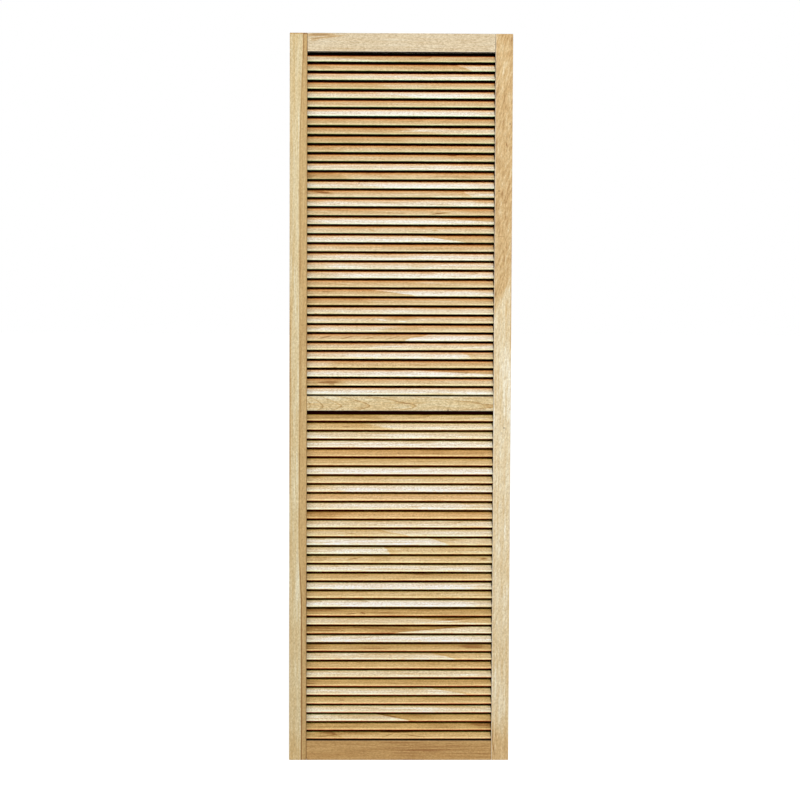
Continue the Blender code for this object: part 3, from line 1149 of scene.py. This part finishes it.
studio = {
    "floorSize": 60.0,
    "floorColour": (0.82, 0.82, 0.82, 1),
    "floorFinish": {"Roughness": 0.9, "Specular IOR Level": 0.1},
    "whiteShare": 0.60,  # how much of the floor's look is plain white, seen directly
    "whiteGlow": 1.61,
    "ambient": 0.05,
    "key": {"place": (1.7, -9.6, 7.1), "aim": (0, 0, 0.7), "size": (2.2, 2.6), "power": 1095.0},
    "back": {"from": (-0.35, 1.0, 0.12), "angle": math.radians(25), "strength": 2.3},
}


def turn(item, place, direction, roll=0.0):  # stands a lamp or the camera at a place, and points it
    item.location = place
    item.rotation_mode = "QUATERNION"
    item.rotation_quaternion = Vector(direction).to_track_quat("-Z", "Y") @ Quaternion((0, 0, 1), roll)


def directView(graph):  # 1 for what the camera, a gloss or a glass sees, and 0 for light on surfaces
    rays = ("Is Camera Ray", "Is Glossy Ray", "Is Transmission Ray")
    camera, glossy, through = graph.add("ShaderNodeLightPath", {}, {}, rays)
    return graph.limit(camera + glossy + through)


def makeFloor():
    material, graph = startMaterial("paleFloor")
    paint = {"Base Color": studio["floorColour"], **studio["floorFinish"]}
    lit = graph.add("ShaderNodeBsdfPrincipled", {}, paint)
    white = graph.add("ShaderNodeEmission", {}, {"Color": (1, 1, 1, 1), "Strength": studio["whiteGlow"]})
    share = directView(graph) * studio["whiteShare"]
    surface = graph.add("ShaderNodeMixShader", {}, {0: share, 1: lit, 2: white})
    graph.add("ShaderNodeOutputMaterial", {}, {"Surface": surface})
    half = studio["floorSize"] / 2
    corners = [(-half, -half, 0), (half, -half, 0), (half, half, 0), (-half, half, 0)]
    mesh = bpy.data.meshes.new("floor")
    mesh.from_pydata(corners, [], [(0, 1, 2, 3)])
    mesh.materials.append(material)
    link("floor", mesh)


def makeKeyLamp(lamp):
    data = bpy.data.lights.new("keyLamp", "AREA")
    data.shape = "RECTANGLE"
    data.size, data.size_y = lamp["size"]
    data.energy = lamp["power"]
    turn(link("keyLamp", data), lamp["place"], Vector(lamp["aim"]) - Vector(lamp["place"]))


def makeBackLamp(lamp):  # low and soft, for the side that the camera doesn't see
    data = bpy.data.lights.new("backLamp", "SUN")
    data.energy = lamp["strength"]
    data.angle = lamp["angle"]
    turn(link("backLamp", data), lamp["from"], -Vector(lamp["from"]))


def makeWorld():
    world = bpy.data.worlds.new("studioWorld")
    graph = emptyGraph(world)
    strength = studio["ambient"] + (1 - studio["ambient"]) * directView(graph)
    sky = graph.add("ShaderNodeBackground", {}, {"Color": (1, 1, 1, 1), "Strength": strength})
    graph.add("ShaderNodeOutputWorld", {}, {"Surface": sky})
    bpy.context.scene.world = world


cameraSettings = {
    "place": (-0.1426, -7.0008, 1.4821),
    "aim": (-0.0004, -0.0175, 1.0204),
    "roll": math.radians(0.233),
    "lens": 112.47,
    "sensor": 36.0,
}


def makeCamera(settings):
    data = bpy.data.cameras.new("viewCamera")
    data.lens = settings["lens"]
    data.sensor_width = settings["sensor"]
    item = link("viewCamera", data)
    turn(item, settings["place"], Vector(settings["aim"]) - Vector(settings["place"]), settings["roll"])
    bpy.context.scene.camera = item


makeFloor()
makeKeyLamp(studio["key"])
makeBackLamp(studio["back"])
makeWorld()
makeCamera(cameraSettings)
bpy.context.scene.view_settings.view_transform = "Standard"
print("studio set")
